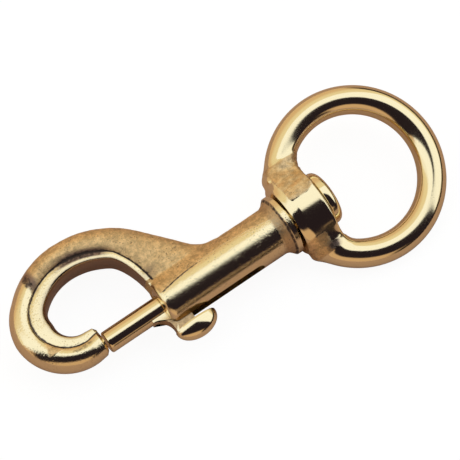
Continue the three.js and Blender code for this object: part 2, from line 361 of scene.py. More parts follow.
def walk_the_bow(step_angle=1.9, step_length=0.3):
    """(inside, outside, thickness, lip) of each section from the tip to the end of the shoulder."""
    centre = np.array([-gate_length, tip_rise])
    heading = math.pi
    section = np.array(sections["tip"]) - tip_bevel
    rows = []

    def keep(size):
        outwards = np.array([-math.sin(heading), math.cos(heading)])
        rows.append((centre - outwards * size[1], centre + outwards * size[0], size[2], size[3]))

    keep(section)
    for radius, amount, name in legs:
        target = np.array(sections[name])
        steps = math.ceil(amount / (step_angle if radius else step_length))
        turn = math.radians(amount) / steps if radius else 0
        stride = 2 * radius * math.sin(turn / 2) if radius else amount / steps
        for i in range(1, steps + 1):
            chord = heading - turn / 2
            centre = centre + np.array([math.cos(chord), math.sin(chord)]) * stride
            heading -= turn
            keep(section + (target - section) * i / steps)
        section = target
    return rows


bow_rows = walk_the_bow()
print("sections round the bow:", len(bow_rows))

# %% [markdown]
# ## The hook casting: the web
# Below the shoulder the bow widens into a flat web that stands on the barrel. Its inner edge becomes
# the wall beside the mouth, its outer edge the sloping back. The sections fan out between those two
# lines until the last one is buried in the barrel.

# %% Fan out the web
back_fillet = 3.4
web_inset = 0.1
wall_lead = 2.6
wall_ease = 1.9
wall_straight = 4.5
web_depth = 3.0
web_section = np.array([3.3, 1.3])


def bezier(points, t):
    """A point on the curve that a row of control points pulls on."""
    while len(points) > 1:
        points = [a * (1 - t) + b * t for a, b in zip(points, points[1:])]
    return points[0]


def along(lines, share):
    """The point at a share of the whole length of several polylines laid end to end."""
    path = np.concatenate(lines)
    reach = np.concatenate([[0], np.cumsum(np.linalg.norm(np.diff(path, axis=0), axis=1))])
    return np.array([np.interp(share * reach[-1], reach, path[:, k]) for k in (0, 1)])


def fan_out(last, steps=44, hollow_steps=30):
    """Sections of the web, from the last one of the bow down into the barrel."""
    inside, outside, thick, lip = last
    slope = math.radians(shoulder_angle)
    corner = np.array([outside[0] + (outside[1] - barrel_radius) / math.tan(slope), barrel_radius])
    back_end = corner + np.array([-math.cos(slope), math.sin(slope)]) * back_fillet
    barrel_end = np.array([corner[0] + back_fillet, barrel_radius])
    foot = np.array([barrel_end[0], web_depth])
    hollow = np.array([bezier([back_end, corner, barrel_end], t) for t in np.linspace(0, 1, hollow_steps)])
    lines = [np.array([outside, back_end]), hollow, np.array([barrel_end, foot])]
    rows = []
    for t in np.linspace(0, 1, steps + 1)[1:]:
        size = np.array([thick, lip]) * (1 - t) + web_section * t
        rows.append((inside, along(lines, t), *size))
    return rows


def ease_wall(rows, wall_steps=80):
    """Moves the inner ends of the last sections onto one smooth wall down to the mouth."""
    first = next(i for i, row in enumerate(rows) if row[0][0] > rows[-1][0][0] - wall_lead)
    start = rows[first][0]
    onward = rows[first + 1][0] - rows[first - 1][0]
    pulls = [start, start + onward / np.linalg.norm(onward) * wall_ease,
             np.array([web_inset, web_depth + wall_straight]), np.array([web_inset, web_depth])]
    wall = np.array([bezier(pulls, t) for t in np.linspace(0, 1, wall_steps)])
    left = len(rows) - 1 - first
    return rows[:first] + [(along([wall], i / left), *row[1:]) for i, row in enumerate(rows[first:])]


hook_rows = ease_wall(bow_rows + fan_out(bow_rows[-1]))
hook_sweep = skinned("hook_sweep", [hook_ring(*row) for row in hook_rows])
sweep_tree = BVHTree.FromObject(hook_sweep, bpy.context.evaluated_depsgraph_get())
print("hook sweep:", len(hook_sweep.data.polygons), "faces")

# %% [markdown]
# ## The hook casting: barrel, bore and slot
# The barrel is turned: a rounded mouth, a plain tube, and a collar with a hollow flare. Adding it to the
# sweep and then boring it, as a machinist would, keeps the wall of the bore true. The slot lets the
# neck of the knob travel.

# %% Turn the barrel
rim_front = barrel_length - collar_rim
flare_start = rim_front - collar_flare
flare_rise = collar_radius - collar_edge - barrel_radius
grain_step = 0.45
rim_step = 0.3
end_step = 0.6
centre_radius = 1.5
barrel_profile = [(0, 0)]
barrel_profile += [(0, r) for r in spread(centre_radius, barrel_radius - mouth_round, grain_step)]
barrel_profile += arc(mouth_round, barrel_radius - mouth_round, mouth_round, 180, 90, 10)[1:]
barrel_profile += [(x, barrel_radius) for x in spread(mouth_round, flare_start, grain_step)[1:]]
barrel_profile += [
    (flare_start + collar_flare * t, barrel_radius + flare_rise * t * t) for t in np.linspace(0, 1, 11)[1:]
]
barrel_profile += [(rim_front + collar_edge * t, collar_radius - collar_edge * (1 - t)) for t in (0.5, 1)]
rim_places = spread(rim_front + collar_edge, barrel_length - collar_edge, rim_step)[1:]
barrel_profile += [(x, collar_radius) for x in rim_places]
barrel_profile += [(barrel_length - collar_edge * (1 - t), collar_radius - collar_edge * t) for t in (0.5, 1)]
end_radii = spread(collar_radius - collar_edge, centre_radius, end_step)[1:]
barrel_profile += [(barrel_length, r) for r in end_radii] + [(barrel_length, 0)]
hook = turned("hook_body_cast", barrel_profile, steps=176)
joined(hook, hook_sweep)
print("barrel and sweep together:", len(hook.data.polygons), "faces")

# %% Bore it and cut the slot
mouth_chamfer = 0.25
bore_past_pin = 0.02
cut_overlap = 0.1
cut_past_end = 0.4
slot_past_mouth = 2.0
bore_end = pin_front + bore_past_pin
bore = turned("bore", [
    (-mouth_round, 0), (-mouth_round, bore_radius + mouth_chamfer + mouth_round),
    (mouth_chamfer, bore_radius), (bore_end, bore_radius), (bore_end, 0),
], steps=96)
joined(hook, bore, "DIFFERENCE")
pin_bore_front, pin_bore_rear = pin_front - cut_overlap, barrel_length + cut_past_end
pin_bore = turned("pin_bore", [
    (pin_bore_front, 0), (pin_bore_front, pin_bore_radius),
    (pin_bore_rear, pin_bore_radius), (pin_bore_rear, 0),
], steps=96)
joined(hook, pin_bore, "DIFFERENCE")

slot_end = slot_length - slot_width / 2
slot_outline = [(-slot_past_mouth, -slot_width / 2)] + arc(slot_end, 0, slot_width / 2, -90, 90, 24)
slot_outline += [(-slot_past_mouth, slot_width / 2)]
slot_rings = [[(x, y, z) for x, z in slot_outline] for y in (-2 * barrel_radius, 0)]
joined(hook, skinned("slot", slot_rings), "DIFFERENCE")
turned_outwards(hook)
print("bored casting:", len(hook.data.polygons), "faces")

# %% [markdown]
# ## The hook casting: the fillet at the web's foot
# A casting has no sharp inner corners, because they would tear as the metal cools. Where the web stands
# on the barrel, both surfaces are raised towards a smooth blend of their two heights. A bevel on the
# edge could do it too, but the cut mesh has no tidy edge there to bevel.

# %% Blend the web into the barrel
fillet_reach = 1.6
no_surface = -9.0
ray_start = 20
inside_web = 0.05
buried = 0.3


def web_height(x, y):
    start = Vector((x, max(y, web_depth + inside_web), ray_start))
    hit = sweep_tree.ray_cast(start, Vector((0, 0, -1)))[0]
    return hit.z if hit else no_surface


casting = points_of(hook)
x, y, z = casting.T
blend_zone = (x > -0.5) & (x < 16) & (y > 0.5) & (y < 9) & (np.abs(z) > 0.4)
for i in np.nonzero(blend_zone)[0]:
    tube = math.sqrt(max(barrel_radius ** 2 - y[i] ** 2, 0)) if y[i] < barrel_radius else no_surface
    web = web_height(x[i], y[i])
    overlap = max(fillet_reach - abs(tube - web), 0)
    if overlap == 0 or abs(z[i]) < max(tube, web) - buried:
        continue
    rise = overlap ** 2 / (4 * fillet_reach) * smooth_step(0.5, 2.2, abs(z[i])) * smooth_step(0.2, 1.4, x[i])
    casting[i, 2] += math.copysign(rise, z[i])
set_points(hook, casting)
print("points in the fillet zone:", int(blend_zone.sum()))

# %% [markdown]
# ## The hook casting: raw skin and polish
# A buffing wheel reaches the bead of the bow, the lip and the barrel's side, and leaves the web and the
# barrel's top as the sand made them. The wheel's limits are soft edges in x and y, so each point can be
# given a "cast" value from its place. Numbers painted on the points were chosen over a picture, because
# the mesh needs no unwrapping and carries them with it.

# %% Find each point's place across the hook
insides = np.array([row[0] for row in hook_rows])
acrosses = np.array([(row[1] - row[0]) / np.linalg.norm(row[1] - row[0]) for row in hook_rows])
lips = np.array([row[3] for row in hook_rows])
creases = insides + acrosses * lips[:, None]


def tree_of(points):
    """A search tree that finds the nearest of many points."""
    tree = KDTree(len(points))
    for i, spot in enumerate(points):
        tree.insert(spot, i)
    tree.balance()
    return tree


row_tree = tree_of([(*spot, 0) for spot in creases])


def lip_share(points):
    """0 on the inner face of the hook, 1 at the crease and more than 1 on the bead."""
    rows = np.array([row_tree.find((p[0], p[1], 0))[1] for p in points])
    return ((points[:, :2] - insides[rows]) * acrosses[rows]).sum(1) / lips[rows]


casting = points_of(hook)
x, y, z = casting.T
flat = casting * [1, 1, 0]
share = lip_share(casting)
in_sweep = (y > barrel_radius + 0.1) | (x < -0.05)
on_lip = in_sweep * (1 - smooth_step(0.9, 1.02, share))
inner_face = in_sweep * (1 - smooth_step(0.1, 0.45, share))
on_tube = (np.hypot(y, z) < barrel_radius + 0.3) & (x > 0.3)
print("points on the lip:", int((on_lip > 0.5).sum()), "and on the tube:", int(on_tube.sum()))

# %% Where the casting is raw or polished
wheel_edge = (-19.0, -16.8)
wheel_slant = 0.35
wheel_height = 20
web_foot = (2.5, 3.2)
raw_end = (27, 28)
seam_top = 2.05
seam_drop = 1.25
seam_middle = 14
seam_half_length = 12.6
tube_raw = 0.9
tube_grain = 0.42
flare_raw = 0.6
raw = smooth_step(*wheel_edge, x - wheel_slant * (y - wheel_height)) * smooth_step(*web_foot, y)
raw = raw * (1 - smooth_step(*raw_end, x)) * (1 - on_lip)
seam_y = seam_top - seam_drop * ((x - seam_middle) / seam_half_length) ** 2
seam_width = 0.1 + 0.9 * smooth_step(5.0, 13.0, x)
above_seam = smooth_step(-seam_width, seam_width, y - seam_y) * smooth_step(0.3, 1.0, x)
grainy = tube_grain * smooth_step(-2.6, -0.3, y - seam_y) * smooth_step(0.8, 1.6, x)
raw = np.where(on_tube, np.maximum(tube_raw * above_seam, grainy), raw)
on_flare = between((flare_start - 0.6, flare_start + 0.4), (rim_front, rim_front + 0.2), x)
raw = np.maximum(raw, on_flare * flare_raw)
# Painted shade: a dark patch beside the crease at the crown, which is also made satin, browner and darker.
crown_painted_shade = near(flat, (-7.0, 17.0, 0), (8.0, 5.0, 1)) * between((0.45, 0.62), (1.1, 1.5), share)
paint(hook, "cast", np.maximum(raw, 0.8 * crown_painted_shade))
print("raw share of the casting:", round(float(raw.mean()), 2))

# %% Tarnish, painted shade and lumps
# A dark brown wedge on the upper left of the bow.
upper_left = near(flat, (-18.3, 18.2, 0), (1.6, 3.4, 1))
# Painted shade in the hollow where the web's foot meets the barrel.
web_foot_painted_shade = near(flat, (1.7, 6.4, 0), (2.4, 2.0, 1))
# The inner wall's brown is partly tarnish and partly painted shade.
inner_wall = inner_face * smooth_step(2.0, 4.0, y)
# These brown values are partly tarnish and partly painted shade.
tarnish_and_shade = [0.95 * upper_left, crown_painted_shade, 0.3 * web_foot_painted_shade, 0.35 * on_flare, 0.85 * inner_wall]
paint(hook, "tarnish_and_shade", np.maximum.reduce(tarnish_and_shade))
relief = lumps(casting, 1.6, 1) * 0.07 + lumps(casting, 0.7, 2, 3) * 0.035
web_mess = near(flat, (4.5, 7.0, 0), (6.5, 3.0, 1))
push_out(hook, relief * raw * 0.8 + lumps(casting, 0.9, 3) * 0.11 * web_mess)
print("lumps up to", round(float(np.abs(relief * raw).max()), 2), "mm high")

# %% [markdown]
# ## The hook casting: dirt and painted shade
# Thin brown lines and patches are painted on the casting. In the crease they are partly dirt and old polish
# and partly painted shade of the groove. Further lines run along the seam of the barrel and where the
# flare meets the collar's rim, and a few patches are laid on the bow; the one beside the crease at the
# crown is painted shade. The distance from each point to the nearest piece of crease gives a thin even
# line, which a texture laid over the whole hook couldn't follow.

# %% Dirt and painted shade in the crease and corners
crease_reach = (0.08, 0.38)
seam_reach = (0.06, 0.3)
corner_reach = (0.1, 0.4)


def crease_lines():
    """Points along both creases of the hook, close together."""
    lines = []
    for spot, row in zip(creases, hook_rows):
        height = row[2] * math.sin(crease_angle) - groove_depth
        lines += [(*spot, height), (*spot, -height)]
    return lines


crease_tree = tree_of(crease_lines())
casting = points_of(hook)
gap = np.array([crease_tree.find(p)[2] for p in casting])
# The crease line is partly dirt and old polish and partly painted shade of the groove.
in_crease = (1 - smooth_step(*crease_reach, gap)) * (casting[:, 1] > 1.5) * ~on_tube
seam = (1 - smooth_step(*seam_reach, np.abs(casting[:, 1] - seam_y))) * on_tube
seam *= between((0.8, 1.3), (7, 17), x) * smooth_step(0.5, 1.5, np.abs(z))
# A darker line where the hollow flare meets the collar's rim.
collar_corner = 1 - smooth_step(*corner_reach, np.abs(casting[:, 0] - rim_front))
# More darkening on the same wedge on the upper left of the bow.
bow_wedge_dark = near(flat, (-18.9, 18.2, 0), (1.4, 2.8, 1))
# A darker band on the bead along the bottom of the bow, near the tip.
tip_bead_dark = near(flat, (-17.2, 1.1, 0), (3.8, 1.0, 1)) * smooth_step(1.05, 1.2, share)
# These darker values are partly dirt and partly painted shade.
dirt_and_shade = np.maximum.reduce([
    0.95 * in_crease, 0.75 * seam, 0.7 * collar_corner,
    0.55 * crown_painted_shade, 0.6 * bow_wedge_dark, 0.5 * tip_bead_dark,
])
paint(hook, "dirt_and_shade", dirt_and_shade)
print("dirtiest point:", round(float(dirt_and_shade.max()), 2))

# %% [markdown]
# ## The bolt and its knob
# The bolt is a turned rod with a thin spigot that steers the spring. A short neck reaches out through
# the slot to a half dome that the thumb pulls back. In the casting the neck runs into the rod with a
# hollow curve at the front.

# %% Make the bolt
neck_front = -0.35
neck_length = 4.4
neck_thickness = 2.8
neck_fillet = 2.9
knob_gap = 1.1
knob_length = 9.1
knob_overhang = 0.4
knob_rim = 0.45
bolt_tail = 6.0
spigot_radius = 1.4
spigot_end = 10.75
nose_chamfer = 0.35
neck_rear = neck_front + neck_length
knob_top = -barrel_radius - knob_gap
knob_depth = knob_top - knob_low
knob_centre = neck_front - knob_overhang + knob_length / 2

rod_profile = [(bolt_nose, 0)]
rod_profile += [(bolt_nose, r) for r in spread(0.6, bolt_radius - nose_chamfer, 0.5)]
rod_profile += arc(bolt_nose + nose_chamfer, bolt_radius - nose_chamfer, nose_chamfer, 180, 90, 5)[1:]
rod_profile += [(x, bolt_radius) for x in spread(bolt_nose + nose_chamfer, bolt_tail, 0.5)[1:]]
rod_profile += [(bolt_tail, r) for r in (1.9, spigot_radius)]
rod_profile += [(x, spigot_radius) for x in spread(bolt_tail, spigot_end - nose_chamfer, 0.6)[1:]]
rod_profile += [(spigot_end, spigot_radius - nose_chamfer), (spigot_end, 0)]
bolt = turned("bolt_cast", rod_profile, steps=96)
print("rod:", len(bolt.data.polygons), "faces")

# %% Add the neck and the knob
fillet_x, fillet_y = neck_front - neck_fillet, -bolt_radius - neck_fillet
neck_outline = [(fillet_x, -bolt_radius / 2)] + arc(fillet_x, fillet_y, neck_fillet, 90, 0, 16)
neck_outline += [(neck_front, y) for y in spread(fillet_y, knob_top - knob_rim, 0.4)[1:]]
neck_outline += [(x, knob_top - knob_rim) for x in spread(neck_front, neck_rear, 0.6)[1:]]
neck_outline += [(neck_rear, y) for y in spread(knob_top - knob_rim, -bolt_radius / 2, 0.4)[1:]]
neck_rings = [
    [(x, y, z) for x, y in neck_outline] for z in spread(-neck_thickness / 2, neck_thickness / 2, 0.35)
]
joined(bolt, skinned("neck", neck_rings))

face_edge = 0.15
dome_depth = knob_depth - knob_rim
dome_profile = [(-knob_depth, 0)]
for a in np.radians(np.linspace(0, 90, 25)[1:]):
    dome_profile.append((-knob_rim - dome_depth * math.cos(a), knob_length / 2 * math.sin(a)))
dome_profile += [(-face_edge, knob_length / 2), (0, knob_length / 2 - face_edge)]
dome_profile += [(0, r) for r in spread(knob_length / 2 - face_edge, 0.8, 0.6)[1:]] + [(0, 0)]
knob = turned("knob", dome_profile, steps=96)
turn_down = Matrix.Rotation(math.radians(90), 4, "Z") @ Matrix.Diagonal((1, 1, knob_width / knob_length, 1))
knob.data.transform(Matrix.Translation((knob_centre, knob_top, 0)) @ turn_down)
joined(bolt, knob)
turned_outwards(bolt)
rod = points_of(bolt)
on_neck = between((-6.4, -6.1), (-3.0, -2.1), rod[:, 1])
paint(bolt, "cast", 0.15 + 0.7 * on_neck)
# Painted shade: the neck, where it stands between the bolt and the barrel, gets the tarnish brown.
paint(bolt, "tarnish_and_shade", 0.45 * on_neck)
# Painted shade under the rod where the neck meets it.
paint(bolt, "dirt_and_shade", 0.5 * near(rod, (neck_front + 2, -bolt_radius, 0), (3, 0.8, 3)))
print("bolt:", len(bolt.data.polygons), "faces")

# %% [markdown]
# ## The spring
# A compression spring pushes the bolt shut. It is a round wire wound on a helix, with the last turn at
# each end laid flat so that it sits square. It is almost hidden, but the slot shows it.

# %% Wind the spring
spring_wire = 0.5
spring_turns = 9.5
spring_from = spring_low.x - mouth_x + spring_wire / 2
spring_to = spring_high.x - mouth_x - spring_wire / 2
coil_radius = spring_high.y - spring_wire / 2


def wind_spring(steps_per_turn=36, sides=12, flat_turns=0.75, least_lift=0.3):
    """The wire as a skin over small rings that climb a helix, slower in the flat end turns."""
    rings = []
    total = int(spring_turns * steps_per_turn)
    lift = np.array([min(1, i / steps_per_turn / flat_turns, (total - i) / steps_per_turn / flat_turns)
                     for i in range(total + 1)])
    lift = np.cumsum(least_lift + (1 - least_lift) * smooth_step(0, 1, lift))
    for i in range(total + 1):
        a = 2 * math.pi * i / steps_per_turn
        centre = spring_from + (spring_to - spring_from) * (lift[i] - lift[0]) / (lift[-1] - lift[0])
        out = np.array([0, math.cos(a), math.sin(a)])
        wire = [np.array([centre, 0, 0]) + out * coil_radius
                + spring_wire / 2 * (out * math.cos(s) + np.array([1, 0, 0]) * math.sin(s))
                for s in np.arange(sides) * 2 * math.pi / sides]
        rings.append(wire)
    return skinned("bolt_spring_wire", rings)


spring = wind_spring()
print("spring:", len(spring.data.polygons), "faces, coil radius", round(coil_radius, 2), "mm")

# %% [markdown]
# ## The swivel eye
# The ring and its hub are one casting. A torus and a turned, slightly flattened hub are added together,
# and then the points near their meeting line are moved out to a smooth blend of the two shapes, which is
# how metal flows into such a corner. The ring leans, because the hook is drawn lying on a table and the
# ring has dropped to rest on it.

# %% Make the ring
ring_steps, wire_steps = 264, 60
torus_points, torus_faces = [], []
for i in range(ring_steps):
    a = 2 * math.pi * i / ring_steps
    for j in range(wire_steps):
        b = 2 * math.pi * j / wire_steps
        reach = ring_radius + ring_wire * math.cos(b)
        torus_points.append((ring_centre + reach * math.cos(a), reach * math.sin(a), ring_wire * math.sin(b)))
        here, there = i * wire_steps, (i + 1) % ring_steps * wire_steps
        side = (j + 1) % wire_steps
        torus_faces.append((here + j, there + j, there + side, here + side))
eye = turned_outwards(new_object("swivel_eye_cast", torus_points, torus_faces))
print("ring:", len(eye.data.polygons), "faces")

# %% Add the hub and bore it for the pin
front_bevel, front_drop, rear_bevel, front_edge = 1.7, 0.6, 0.5, 0.15
hub_step = 0.5
face_start = 2.0
cut_radius = 40
hub_profile = [(hub_front, 0)]
front_radius = hub_half_height - front_drop
hub_profile += [(hub_front, r) for r in spread(face_start, front_radius - front_edge, hub_step)]
hub_profile += [(hub_front + front_edge, front_radius)]
hub_profile += [
    (hub_front + front_edge + (front_bevel - front_edge) * t, hub_half_height - front_drop * (1 - t))
    for t in np.linspace(0, 1, 6)[1:]
]
hub_profile += [(x, hub_half_height) for x in spread(hub_front + front_bevel, hub_rear - rear_bevel, 0.4)[1:]]
hub_profile += arc(hub_rear - rear_bevel, hub_half_height - rear_bevel, rear_bevel, 90, 0, 6)[1:]
hub_profile += [(hub_rear, r) for r in spread(hub_half_height - rear_bevel, face_start, hub_step)[1:]]
hub_profile += [(hub_rear, 0)]
hub = turned("hub", hub_profile, steps=176)
hub.data.transform(Matrix.Diagonal((1, hub_half_width / hub_half_height, 1, 1)))
joined(eye, hub)
front_cut = [(0, 0), (0, cut_radius), (hub_front, cut_radius), (hub_front, 0)]
joined(eye, turned("front_cut", front_cut, steps=32), "DIFFERENCE")
bearing = turned("bearing", [
    (0, 0), (0, hub_bore_radius), (hub_rear + 1, hub_bore_radius), (hub_rear + 1, 0),
], steps=96)
joined(eye, bearing, "DIFFERENCE")
turned_outwards(eye)
print("eye:", len(eye.data.polygons), "faces")

# %% [markdown]
# ## The swivel eye: the flow between ring and hub
# Two distances are known exactly at every point: to the ring and to the hub. Where they are nearly
# equal, the point is near the meeting line, and a smooth blend of the two distances says how far out
# the cast surface lies. A remeshing modifier could round the corner as well, but would blur the bore.

# %% Distances from ring, hub and blend
flow_reach = 3.0


def from_ring(p):
    """Distance of points from the ring's surface."""
    round_it = np.hypot(p[:, 0] - ring_centre, p[:, 1]) - ring_radius
    return np.hypot(round_it, p[:, 2]) - ring_wire


def from_hub(p):
    """Distance of points from the hub's surface, close enough for a blend."""
    flat = hub_half_width / hub_half_height
    side = np.hypot(p[:, 1] / flat, p[:, 2]) - hub_half_height
    end = np.abs(p[:, 0] - (hub_front + hub_rear) / 2) - hub_length / 2
    outside = np.hypot(np.maximum(side, 0), np.maximum(end, 0))
    return outside + np.minimum(np.maximum(side, end), 0)


def blended(p):
    a, b = from_ring(p), from_hub(p)
    overlap = np.maximum(flow_reach - np.abs(a - b), 0)
    return np.minimum(a, b) - overlap ** 2 / (4 * flow_reach)


def slope_of(field, p, step=0.02):
    return np.stack([(field(p + e) - field(p - e)) / (2 * step) for e in np.eye(3) * step], -1)


ring_top = np.array([[ring_centre, ring_radius + ring_wire, 0.0]])
print("blend at the top of the ring:", blended(ring_top).round(2))

# %% Let the ring flow into the hub
face_radius = 5.2
least_slope = 0.25
stride = 0.8
rounds = 5
spots = points_of(eye)
flowing = np.abs(from_ring(spots) - from_hub(spots)) < flow_reach
flowing &= np.hypot(spots[:, 1], spots[:, 2]) > face_radius
flowing &= spots[:, 0] > hub_front + 0.05
moving = spots[flowing]
surface = np.minimum(from_ring(moving), from_hub(moving))
for _ in range(rounds):
    slope = slope_of(blended, moving)
    size = np.maximum((slope ** 2).sum(1), least_slope)
    moving = moving - slope * ((blended(moving) - surface) / size)[:, None] * stride
share = smooth_step(0.0, 1.2, spots[flowing][:, 0] - hub_front)[:, None]
spots[flowing] += (moving - spots[flowing]) * share
set_points(eye, spots)
print("points moved into the blend:", int(flowing.sum()))

# %% [markdown]
# ## The swivel eye: raw roots
# The wheel can't get between the ring and the hub, so the upper root keeps its sand skin, and the hub's
# underside is only rubbed. The last turn of all tips the ring over until it rests on the table.

# %% Raw roots and dirt on the eye
root_lift = 0.12
spots = points_of(eye)
x, y, z = spots.T
middle = near(spots * [1, 0, 0], ((hub_front + hub_rear) / 2, 0, 0), (4.5, 1, 1))
upper_root = smooth_step(3.1, 4.0, y + 0.9 * middle) * (1 - smooth_step(10.2, 11.2, y))
upper_root *= between((hub_front + 1.0, hub_front + 1.9), (39, 41), x)
lower_root = between((7.4, 8.4), (9.6, 10.4), -y) * (1 - smooth_step(37.5, 38.5, x))
under_hub = between((5.2, 6.2), (9.6, 10.4), -y) * (1 - smooth_step(34.4, 35.8, x))
crevice = near(spots, (35.2, -8.9, 2.6), (2.0, 1.5, 4.0))
raw = np.maximum(upper_root, 0.35 * lower_root)
paint(eye, "cast", np.maximum(raw, 0.75 * under_hub))
paint(eye, "tarnish_and_shade", np.maximum(0.12 * upper_root, crevice))
paint(eye, "dirt_and_shade", 0.6 * crevice + 0.2 * upper_root)
push_out(eye, raw * (root_lift + lumps(spots, 1.5, 5) * 0.16 + lumps(spots, 0.6, 6, 3) * 0.06))
eye.data.transform(Matrix.Rotation(ring_lean, 4, "X"))
print("eye leans", round(math.degrees(ring_lean), 1), "degrees about the pin")

# %% [markdown]
# ## The swivel pin
# The pin is turned from bar: a plain shank that is pressed into the barrel and a head with a rounded
# edge that keeps the eye on. A lathe profile says all of that.

# %% Turn the pin
head_rim = 0.7
head_round = 1.35
shank_chamfer = 0.2
shank_start = pin_front + shank_chamfer
pin_profile = [(pin_front, 0), (pin_front, pin_radius - shank_chamfer), (shank_start, pin_radius)]
pin_profile += [(x, pin_radius) for x in spread(shank_start, head_front, 0.8)[1:]]
pin_profile += [(head_front, r) for r in spread(pin_radius, pin_head_radius - head_rim / 2, 0.5)[1:]]
pin_profile += arc(head_front + head_rim / 2, pin_head_radius - head_rim / 2, head_rim / 2, 180, 90, 5)[1:]
pin_profile += arc(head_rear - head_round, pin_head_radius - head_round, head_round, 90, 0, 12)
pin_profile += [(head_rear, r) for r in spread(pin_head_radius - head_round, 0.6, 0.5)[1:]] + [(head_rear, 0)]
pin = turned("swivel_pin_turned", pin_profile, steps=120)
paint(pin, "cast", np.full(len(pin.data.vertices), 0.12))
spots = points_of(pin)
# Painted shade: a darker band where the head meets the shank, in the gap behind the hub.
paint(pin, "dirt_and_shade", 0.5 * (1 - smooth_step(0, 0.5, np.abs(spots[:, 0] - head_front))))
print("pin:", len(pin.data.polygons), "faces")

# %% [markdown]
# ## Shader groups for brass
# Three effects are shared by every brass piece: the pitted skin that sand leaves, the fine swirl of a
# buffing wheel, and a dark brown laid into corners and creases that is partly dirt and partly painted
# shade. Each is a node group with named inputs and outputs, so that a material only has to say how much
# of each it has. A group hands over colours, masks and heights; the shader itself stays in the material.

# %% A helper for building groups
def new_group(name, inputs, outputs):
    group = bpy.data.node_groups.new(name, "ShaderNodeTree")
    for label, kind, value in inputs:
        made = group.interface.new_socket(name=label, in_out="INPUT", socket_type=kind)
        if value is not None:
            made.default_value = value
    for label, kind in outputs:
        group.interface.new_socket(name=label, in_out="OUTPUT", socket_type=kind)
    start = group.nodes.new("NodeGroupInput")
    end = group.nodes.new("NodeGroupOutput")
    start.location, end.location = (-900, 0), (700, 0)
    return group, start, end


def add_node(tree, kind, place, **settings):
    made = tree.nodes.new(kind)
    made.location = place
    for key, value in settings.items():
        if key.startswith("in_"):
            made.inputs[int(key[3:])].default_value = value
        else:
            setattr(made, key, value)
    return made


def maths(tree, operation, a, b, place, clamp=False):
    made = add_node(tree, "ShaderNodeMath", place, operation=operation, use_clamp=clamp)
    for slot, value in enumerate((a, b)):
        if isinstance(value, (int, float)):
            made.inputs[slot].default_value = value
        elif value is not None:
            tree.links.new(value, made.inputs[slot])
    return made.outputs[0]


def mixed(tree, share, a, b, place):
    """A colour mix, with colours given as sockets or as plain RGB."""
    made = add_node(tree, "ShaderNodeMix", place, data_type="RGBA")
    for socket, value in ((made.inputs[0], share), (made.inputs[6], a), (made.inputs[7], b)):
        if isinstance(value, (int, float)):
            socket.default_value = value
        elif isinstance(value, tuple):
            socket.default_value = (*value, 1)
        else:
            tree.links.new(value, socket)
    return made.outputs[2]


def ramped(tree, value, low, high, place):
    """Maps a value from low..high to 0..1 smoothly."""
    made = add_node(tree, "ShaderNodeMapRange", place, interpolation_type="SMOOTHSTEP", in_1=low, in_2=high)
    tree.links.new(value, made.inputs[0])
    return made.outputs[0]


print("node helpers ready")

# %% Sand skin, buffing, and dirt with painted shade
def noise_socket(tree, scale, detail, rough, place, link):
    made = add_node(tree, "ShaderNodeTexNoise", place)
    made.inputs["Scale"].default_value = scale
    made.inputs["Detail"].default_value = detail
    made.inputs["Roughness"].default_value = rough
    tree.links.new(link, made.inputs["Vector"])
    return made.outputs["Fac"]


def scaled_place(group, vector, scale, place):
    """Coordinates made finer by a number or by one of the group's own inputs."""
    made = add_node(group, "ShaderNodeVectorMath", place, operation="SCALE")
    group.links.new(vector, made.inputs[0])
    if isinstance(scale, (int, float)):
        made.inputs["Scale"].default_value = scale
    else:
        group.links.new(scale, made.inputs["Scale"])
    return made.outputs[0]


def build_sand_skin():
    group, start, end = new_group(
        "Sand skin",
        [("Place", "NodeSocketVector", None), ("Grains per metre", "NodeSocketFloat", 2600.0)],
        [("Height", "NodeSocketFloat"), ("Pits", "NodeSocketFloat"), ("Tone", "NodeSocketFloat")],
    )
    scaled = scaled_place(group, start.outputs["Place"], start.outputs["Grains per metre"], (-700, 0))
    grain = noise_socket(group, 1.0, 3.0, 0.6, (-500, 200), scaled)
    cells = add_node(group, "ShaderNodeTexVoronoi", (-500, -100))
    cells.inputs["Scale"].default_value = 0.8
    group.links.new(scaled, cells.inputs["Vector"])
    pit = ramped(group, cells.outputs["Distance"], 0.02, 0.4, (-300, -100))
    broad = noise_socket(group, 0.12, 2.0, 0.5, (-500, -350), scaled)
    sparse = ramped(group, broad, 0.44, 0.6, (-300, -350))
    pits = maths(group, "MULTIPLY", maths(group, "SUBTRACT", 1.0, pit, (-150, -100)), sparse, (0, -150))
    height = maths(group, "SUBTRACT", grain, maths(group, "MULTIPLY", pits, 0.8, (150, -100)), (300, 100))
    tone = noise_socket(group, 0.3, 5.0, 0.85, (-300, 350), scaled)
    group.links.new(height, end.inputs["Height"])
    group.links.new(pits, end.inputs["Pits"])
    group.links.new(tone, end.inputs["Tone"])
    return group


def build_buffing():
    group, start, end = new_group(
        "Buffing",
        [("Place", "NodeSocketVector", None), ("Lines per metre", "NodeSocketFloat", 900.0)],
        [("Height", "NodeSocketFloat"), ("Haze", "NodeSocketFloat")],
    )
    stretched = add_node(group, "ShaderNodeMapping", (-700, 0))
    stretched.inputs["Scale"].default_value = (0.12, 1.0, 1.0)
    group.links.new(start.outputs["Place"], stretched.inputs["Vector"])
    scaled = scaled_place(group, stretched.outputs[0], start.outputs["Lines per metre"], (-500, 0))
    group.links.new(noise_socket(group, 1.6, 3.0, 0.7, (-250, 100), scaled), end.inputs["Height"])
    group.links.new(noise_socket(group, 0.25, 3.0, 0.6, (-250, -200), scaled), end.inputs["Haze"])
    return group


